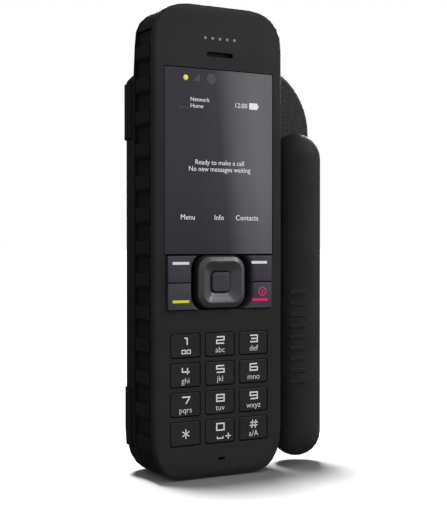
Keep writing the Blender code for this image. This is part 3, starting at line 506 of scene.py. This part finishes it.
def make_sky():
    """Surroundings that look white, and that light the scene softly, most of all from the front."""
    sky = bpy.data.worlds.new("studio")
    bpy.context.scene.world = sky
    sky.use_nodes = True
    nodes, links = sky.node_tree.nodes, sky.node_tree.links
    toward = nodes.new("ShaderNodeTexCoord").outputs["Generated"]

    def graded(value, start, end, low, high):
        change = nodes.new("ShaderNodeMapRange")
        settings = {"From Min": start, "From Max": end, "To Min": low, "To Max": high}
        for socket, setting in settings.items():
            change.inputs[socket].default_value = setting
        links.new(value, change.inputs["Value"])
        return change.outputs["Result"]

    facing = nodes.new("ShaderNodeVectorMath")
    facing.operation = "DOT_PRODUCT"
    facing.inputs[1].default_value = Vector(SOFT_LIGHT_FROM).normalized()
    links.new(toward, facing.inputs[0])
    split = nodes.new("ShaderNodeSeparateXYZ")
    links.new(toward, split.inputs["Vector"])
    soft = nodes.new("ShaderNodeMath")
    soft.operation = "MULTIPLY"
    links.new(graded(facing.outputs["Value"], -1.0, 1.0, BACK_LIGHT, FRONT_LIGHT), soft.inputs[0])
    links.new(graded(split.outputs["Z"], -0.35, 0.15, LIGHT_FROM_BELOW, 1.0), soft.inputs[1])
    seen = nodes.new("ShaderNodeLightPath")
    strength = nodes.new("ShaderNodeMix")
    links.new(seen.outputs["Is Camera Ray"], strength.inputs["Factor"])
    links.new(soft.outputs["Value"], strength.inputs["A"])
    strength.inputs["B"].default_value = 1.0
    links.new(strength.outputs["Result"], nodes["Background"].inputs["Strength"])
    nodes["Background"].inputs["Color"].default_value = (1.0, 1.0, 1.0, 1.0)


def make_light(floor):
    """The surroundings, soft boxes that light the phone only, and a sun that lights the floor only."""
    make_sky()
    overhead = bpy.data.lights.new("overhead", "SUN")
    overhead.energy = FLOOR_SUN
    overhead.angle = FLOOR_SUN_SPREAD
    light_object("overhead", overhead, FLOOR_SUN_DIRECTION, lit=floor)
    for name, place, size, power in SOFT_BOXES:
        box = bpy.data.lights.new(name, "AREA")
        box.shape = "DISK"
        box.size = size * MM
        box.energy = power
        light_object(name, box, Vector(SOFT_BOX_TARGET) - Vector(place), place, spared=floor)


def make_floor():
    """A plain pale floor, which the phone's own surfaces don't see."""
    bpy.ops.mesh.primitive_circle_add(vertices=96, radius=30.0, fill_type="NGON", location=(0, 0, 0))
    floor = bpy.context.object
    floor.name = "floor"
    floor.visible_diffuse = False
    floor.visible_glossy = False
    paper = Surface("floor_paper", (0.30, 0.30, 0.30), 0.9, 0.1)
    tint = paper.mix(paper.noise(6.0, 3.0), (0.29, 0.29, 0.29), (0.31, 0.31, 0.31))
    paper.link(tint, paper.shader.inputs["Base Color"])
    paper.bump(paper.noise(900.0, 2.0), 0.02, 0.2)
    floor.data.materials.append(paper.material)
    return floor


# ---- CAD nodes that stay: finish their surfaces --------------------------------------------------
def finish_nodes():
    """Smooth shading with crisp edges, and the procedural material of each node's slot."""
    for row in frame["record"]["subparts"]:
        node = frame["nodes"][row["node"]]
        made = OWN_MATERIALS.get(row["node"], MATERIALS[row["material_slot"]])
        node.data.materials.clear()
        node.data.materials.append(made.material)
        if "custom_normal" in node.data.attributes:
            node.data.attributes.remove(node.data.attributes["custom_normal"])
        node.data.shade_smooth()
        weld = node.modifiers.new("weld", "WELD")
        weld.merge_threshold = 2e-6
        split = node.modifiers.new("crisp_edges", "EDGE_SPLIT")
        split.split_angle = math.radians(28)
        split.use_edge_sharp = False
        node.modifiers.new("even_shading", "WEIGHTED_NORMAL")


# ---- Display -------------------------------------------------------------------------------------
SCREEN_WORDS = (  # words, place, height and alignment
    ("Network", (-12.1, 134.75), 2.1, "LEFT"),
    ("Home", (-12.1, 132.45), 2.1, "LEFT"),
    ("12:00", (8.75, 133.45), 2.5, "CENTER"),
    ("Ready to make a call", (0.0, 112.45), 2.45, "CENTER"),
    ("No new messages waiting", (0.0, 110.05), 2.45, "CENTER"),
    ("Menu", (-13.1, 92.75), 2.65, "CENTER"),
    ("Info", (-0.35, 92.75), 2.65, "CENTER"),
    ("Contacts", (11.4, 92.75), 2.65, "CENTER"),
)
BATTERY = (12.3, 134.3)  # the middle of its left end
BATTERY_SIZE = (3.5, 2.3)
BATTERY_TIP = (0.45, 1.1)
TRIANGLE = ((-10.9, 141.9), (-8.3, 141.9), (-8.3, 144.9))
DISC, DISC_RADIUS = (-3.5, 143.1), 1.9
SIGNAL_LINE = ((-16.8, 132.4), (-12.7, 132.4))
LAMP = (-13.9, 142.9)
LAMP_DOME = ((0.95, 0.0), (0.9, 0.05), (0.7, 0.12), (0.35, 0.17))  # radius and rise


def screen_figures(y):
    """The words and the battery symbol."""
    words = bmesh.new()
    for text, place, height, align in SCREEN_WORDS:
        lettered(words, text, place, height, y, align)
    left, level = BATTERY
    for long, tall in (BATTERY_SIZE, BATTERY_TIP):
        stroke(words, [(left, level), (left + long, level)], tall, y)
        left += long
    finished("screen_figures", words, INK["screen"], "root")


def status_icons(y):
    """A plain triangle and a disc, printed faintly beside the lamp."""
    faint = bmesh.new()
    printed(faint, TRIANGLE, y)
    printed(faint, circle(DISC, DISC_RADIUS, 24), y)
    finished("status_icons", faint, INK["faint"], "root")


def signal_line(y):
    line = bmesh.new()
    stroke(line, SIGNAL_LINE, 0.22, y)
    finished("signal_line", line, INK["amber"], "root")


def status_lamp(y):
    lamp = bmesh.new()
    bridge(lamp, [facing_front(circle(LAMP, radius, 24), y - rise) for radius, rise in LAMP_DOME])
    finished("status_lamp", lamp, MATERIALS["light"], "root")


# ---- Key figures ---------------------------------------------------------------------------------
DIGITS = {
    "1": [[(0.32, 1), (0.68, 1), (0.68, 0)]],
    "2": [[(0, 1), (1, 1), (1, 0.5), (0, 0.5), (0, 0), (1, 0)]],
    "3": [[(0, 1), (1, 1), (1, 0), (0, 0)], [(0.12, 0.5), (1, 0.5)]],
    "4": [[(0.05, 1), (0.05, 0.36), (1, 0.36)], [(0.72, 0.95), (0.72, 0)]],
    "5": [[(1, 1), (0, 1), (0, 0.52), (1, 0.52), (1, 0), (0, 0)]],
    "6": [[(0.96, 1), (0, 1), (0, 0), (1, 0), (1, 0.5), (0, 0.5)]],
    "7": [[(0, 1), (1, 1), (0.86, 0.62), (0.5, 0)]],
    "8": [[(0, 0), (1, 0), (1, 1), (0, 1), (0, 0)], [(0, 0.5), (1, 0.5)]],
    "9": [[(1, 0.5), (0, 0.5), (0, 1), (1, 1), (1, 0), (0.04, 0)]],
    "0": [[(0, 0), (1, 0), (1, 1), (0, 1), (0, 0)]],
    "hash": [
        [(0.36, 1), (0.26, 0)], [(0.76, 1), (0.66, 0)], [(0.06, 0.68), (1, 0.68)], [(0, 0.32), (0.94, 0.32)],
    ],
    "star": [[(0.5, 1), (0.5, 0)], [(0.07, 0.75), (0.93, 0.25)], [(0.07, 0.25), (0.93, 0.75)]],
}
LETTERS = {
    "2": "abc", "3": "def", "4": "ghi", "5": "jkl", "6": "mno", "7": "pqrs", "8": "tuv", "9": "wxyz",
    "hash": "a/A",
}
LOOPS = [
    [(0, 0), (0, 1), (0.4, 1), (0.4, 0), (0, 0)],
    [(0.6, 0), (0.6, 1), (1, 1), (1, 0), (0.6, 0)],
    [(0.4, 0), (0.6, 0)],
]
SPACE = [[(0, 0.75), (0, 0), (1, 0), (1, 0.75)]]
PLUS = [[(0.5, 0), (0.5, 1)], [(0, 0.5), (1, 0.5)]]
THIN_STROKE = 0.36
DIGIT_RISE = 1.5
DIGIT_FORM = ((3.05, 2.35), 0.46, DIGIT_RISE)  # size, stroke and rise above the key's middle
OTHER_FORMS = {
    "hash": ((3.5, 3.0), THIN_STROKE, DIGIT_RISE),
    "star": ((3.2, 3.4), THIN_STROKE, 0.0),
}
FIGURE_SHIFT = 0.1  # how far the figures are to the right of the key's middle
UNDER_FIGURES = {  # lines, place from the key's middle, size and stroke
    "1": [(LOOPS, (0.25, -2.15), (3.4, 1.2), 0.32)],
    "0": [(SPACE, (0.0, -2.2), (2.4, 0.9), THIN_STROKE), (PLUS, (3.35, -2.0), (2.2, 2.2), THIN_STROKE)],
}
LETTER_DROP = 2.9
LETTER_HEIGHT = 2.95
LETTER_WEIGHT = -0.03


def key_figures():
    """Each digit key's figure and what is printed under it."""
    for name, lines in DIGITS.items():
        low, high = node_box("key_" + name)
        x, z = (low.x + high.x) / 2, (low.z + high.z) / 2
        y = low.y
        size, width, rise = OTHER_FORMS.get(name, DIGIT_FORM)
        figures = bmesh.new()
        drawn(figures, lines, (x + FIGURE_SHIFT, z + rise), size, width, y)
        if name in LETTERS:
            place = (x, z - LETTER_DROP)
            lettered(figures, LETTERS[name], place, LETTER_HEIGHT, y, weight=LETTER_WEIGHT)
        for marks, (across, up), size, width in UNDER_FIGURES.get(name, ()):
            drawn(figures, marks, (x + across, z + up), size, width, y)
        finished(f"key_{name}_figures", figures, INK["white"], "key_" + name)


# ---- Soft keys, ring and centre key --------------------------------------------------------------
BITE = (24.6, 19.9, 5.5)  # width, height and corner radius of the rounded opening around the ring
BITE_SHIFT = 0.6  # how far its middle is to the right of the ring's
BITE_CHAMFER = 1.35
SOFT_KEYS = (  # name, side, level, then the middle and the colour of the bar printed on it
    ("soft_key_left", -1, 1, (-16.4, 77.3), "white"),
    ("soft_key_right", 1, 1, (16.0, 77.45), "white"),
    ("call_key", -1, -1, (-16.4, 63.8), "yellow"),
    ("end_key", 1, -1, (16.35, 63.8), "magenta"),
)
BAR = (6.6, 0.95)
POWER_SIGN, POWER_RADIUS = (17.3, 66.84), 1.5
POWER_STROKE = 0.42


def soft_key_outline(low, high, side, level, inset, grow):
    """A key's outline from its outer corners, with the rounded opening's quarter bitten out."""
    width, height, radius = BITE
    width += 2 * side * BITE_SHIFT
    reach = radius + grow
    corner = (width / 2 - radius, height / 2 - radius)
    top = (high.z if level > 0 else low.z) - NAV_CENTRE[1]
    inner = (low.z if level > 0 else high.z) - NAV_CENTRE[1]
    outer = abs(low.x if side < 0 else high.x) - inset
    top, inner = abs(top) - inset, abs(inner) + inset
    rise = math.degrees(math.asin(min(1.0, (top - corner[1]) / reach)))
    points = [(outer, inner), (width / 2 + grow, inner)]
    points += arc(corner, reach, 0, rise, 12)
    points.append((outer, top))
    return [(side * u, NAV_CENTRE[1] + level * v) for u, v in points]


def soft_key_cap(name, side, level):
    """A key with slightly rounded edges and a wide chamfer beside the ring."""
    low, high = node_box(name)
    levels = (  # depth, inset of the outer edges and growth of the opening
        (high.y, 0.0, 0.0),
        (low.y + 1.5, 0.0, 0.0),
        (low.y + 0.55, 0.0, 0.35),
        (low.y + 0.22, 0.02, 0.85),
        (low.y + 0.06, 0.12, BITE_CHAMFER - 0.12),
        (low.y, 0.28, BITE_CHAMFER + 0.1),
    )
    key = bmesh.new()
    bridge(key, [
        facing_front(soft_key_outline(low, high, side, level, inset, grow), y) for y, inset, grow in levels
    ])
    finished(name + "_cap", key, MATERIALS["soft_key"], name, (name,), 38.0)


def soft_key_print(name, place, colour):
    """The bar near a key's edge, and the power symbol on the end key."""
    bar = bmesh.new()
    x, z = place
    long, tall = BAR
    stroke(bar, [(x - long / 2, z), (x + long / 2, z)], tall, SOFT_KEY_FRONT)
    if name == "end_key":
        x, z = POWER_SIGN
        half = POWER_RADIUS / 2
        stroke(bar, circle(POWER_SIGN, POWER_RADIUS, 24), POWER_STROKE, SOFT_KEY_FRONT, closed=True)
        stroke(bar, [(x, z - half), (x, z + half)], POWER_STROKE, SOFT_KEY_FRONT)
    finished(name + "_print", bar, INK[colour], name)


def soft_keys():
    for name, side, level, place, colour in SOFT_KEYS:
        soft_key_cap(name, side, level)
        soft_key_print(name, place, colour)


def ring_levels(profile, steps):
    """Rounded rectangles round the ring's centre, from rows of width, height, corner radius and depth."""
    return [facing_front(rounded_rect(w, h, r, steps), y, NAV_CENTRE) for w, h, r, y in profile]


def navigation_ring():
    """The painted ring, from its outer edge over the ridge and down the dish, and its skirt, whose dark
    colour is painted shade for the channel round the ring.
    """
    crest, foot = NAV_LOW.y, NAV_HIGH.y
    painted = (
        (18.9, 18.0, 4.8, crest + 1.25),
        (18.9, 18.0, 4.8, crest + 0.98),
        (17.3, 16.5, 4.1, crest + 0.48),
        (15.8, 15.1, 3.4, crest + 0.04),
        (15.4, 14.7, 3.2, crest),
        (15.0, 14.3, 3.0, crest + 0.06),
        (12.4, 11.9, 2.3, crest + 0.70),
        (10.0, 9.6, 1.8, crest + 1.25),
        (8.2, 7.9, 1.6, crest + 1.62),
        (7.8, 7.5, 1.5, crest + 1.80),
        (7.7, 7.4, 1.5, foot),
    )
    # the skirt's dark material is painted shade in the channel round the ring
    skirt = (
        (18.6, 17.7, 4.7, crest + 1.04),
        (19.3, 18.3, 4.9, crest + 1.12),
        (19.7, 18.7, 5.0, crest + 1.36),
        (19.9, 18.9, 5.0, crest + 1.80),
        (20.2, 19.0, 4.6, foot - 0.5),
        (20.2, 19.0, 4.6, foot),
        (18.6, 17.7, 4.7, foot),
    )
    parts = (("skin", painted, MATERIALS["ring"], ("nav_ring",)), ("skirt", skirt, MATERIALS["silicone"], ()))
    for name, profile, material, replaced in parts:
        ring = bmesh.new()
        loops = ring_levels(profile, 10)
        bridge(ring, loops + [loops[0]], capped=False)
        finished("nav_ring_" + name, ring, material, "nav_ring", replaced, 50.0)


def centre_key():
    """A key with rounded edges and a shallow hollow for the thumb."""
    low, high = node_box("nav_centre")
    profile = (
        (7.3, 7.0, 1.3, high.y),
        (7.3, 7.0, 1.3, low.y + 0.45),
        (7.2, 6.9, 1.27, low.y + 0.20),
        (6.9, 6.6, 1.18, low.y + 0.06),
        (6.3, 6.0, 1.0, low.y),
        (4.0, 3.8, 0.7, low.y + 0.05),
        (1.6, 1.5, 0.4, low.y + 0.08),
    )
    key = bmesh.new()
    bridge(key, ring_levels(profile, 8))
    finished("nav_centre_cap", key, MATERIALS["soft_key"], "nav_centre", ("nav_centre",), 50.0)


# ---- Marks and ribs ------------------------------------------------------------------------------
DOTS = 5
DOT_PITCH = 3.0
DOT_LEVEL = 157.6
DOT_RADIUS = 0.55
ROD_RIBS = 9
ROD_RIB_TOP = 66.0
ROD_RIB_PITCH = 4.2
ROD_RIB_DIRECTION = -118  # degrees round the rod, 0 to the right and -90 to the front
ROD_RIB_HALF = (18.0, 0.8)  # half of the way round in degrees, and half of the height
ROD_RIB_NARROWS = 5.0  # degrees that each end draws in for each mm that the long edges do
DOOR_RIBS = 5
DOOR_RIB_TOP = 92.0
DOOR_RIB_PITCH = 2.6
DOOR_RIB = (22.0, 1.2)


def front_dots():
    """A row of dots above the earpiece, in place of lettering."""
    dots = bmesh.new()
    for i in range(DOTS):
        middle = (DOT_PITCH * (i - (DOTS - 1) / 2), DOT_LEVEL)
        printed(dots, circle(middle, DOT_RADIUS, 12), FRONT)
    finished("front_dots", dots, INK["grey"], "root")


def rod_rib_outline(middle, spare, proud):
    """A rib's corners on the round rod: along its lower edge and back along its upper one."""
    low, high = node_box("antenna_front_shell")
    radius = (high.x - low.x) / 2
    axis_x, axis_y = (low.x + high.x) / 2, low.y + radius
    half_turn = ROD_RIB_HALF[0] - spare * ROD_RIB_NARROWS
    half_tall = ROD_RIB_HALF[1] - spare
    reach = radius + proud
    corners = []
    for z, steps in ((middle - half_tall, range(0, 9)), (middle + half_tall, range(8, -1, -1))):
        for step in steps:
            angle = math.radians(ROD_RIB_DIRECTION - half_turn + 2 * half_turn * step / 8)
            corners.append((axis_x + reach * math.cos(angle), axis_y + reach * math.sin(angle), z))
    return corners


def rod_ribs():
    """Low ribs along the antenna rod, in place of lettering."""
    ribs = bmesh.new()
    for i in range(ROD_RIBS):
        middle = ROD_RIB_TOP - ROD_RIB_PITCH * i
        levels = ((0.0, -0.3), (0.0, 0.16), (0.22, 0.30))
        bridge(ribs, [rod_rib_outline(middle, spare, proud) for spare, proud in levels])
    finished("rod_ribs", ribs, MATERIALS["key"], "antenna")


def door_ribs():
    """Low ribs under the battery door's latch, for the thumb that pulls the door off."""
    back = node_box("battery_door")[1].y
    width, height = DOOR_RIB
    ribs = bmesh.new()
    for i in range(DOOR_RIBS):
        middle = DOOR_RIB_TOP - DOOR_RIB_PITCH * i
        loops = []
        for spare, proud in ((0.0, -0.3), (0.0, 0.10), (0.25, 0.22)):
            outline = rounded_rect(width - 2 * spare, height - 2 * spare, 0.3, 3)
            loops.append(facing_front(outline, back + proud, (0.0, middle)))
        bridge(ribs, loops)
    finished("door_ribs", ribs, DARK_HOUSING, "battery_door")


def build():
    make_camera()
    make_light(make_floor())
    finish_nodes()
    for part in (screen_figures, status_icons, signal_line, status_lamp):
        part(GLASS_LOW.y)
    key_figures()
    soft_keys()
    navigation_ring()
    centre_key()
    front_dots()
    rod_ribs()
    door_ribs()
    bpy.context.scene.view_settings.view_transform = "Standard"


build()
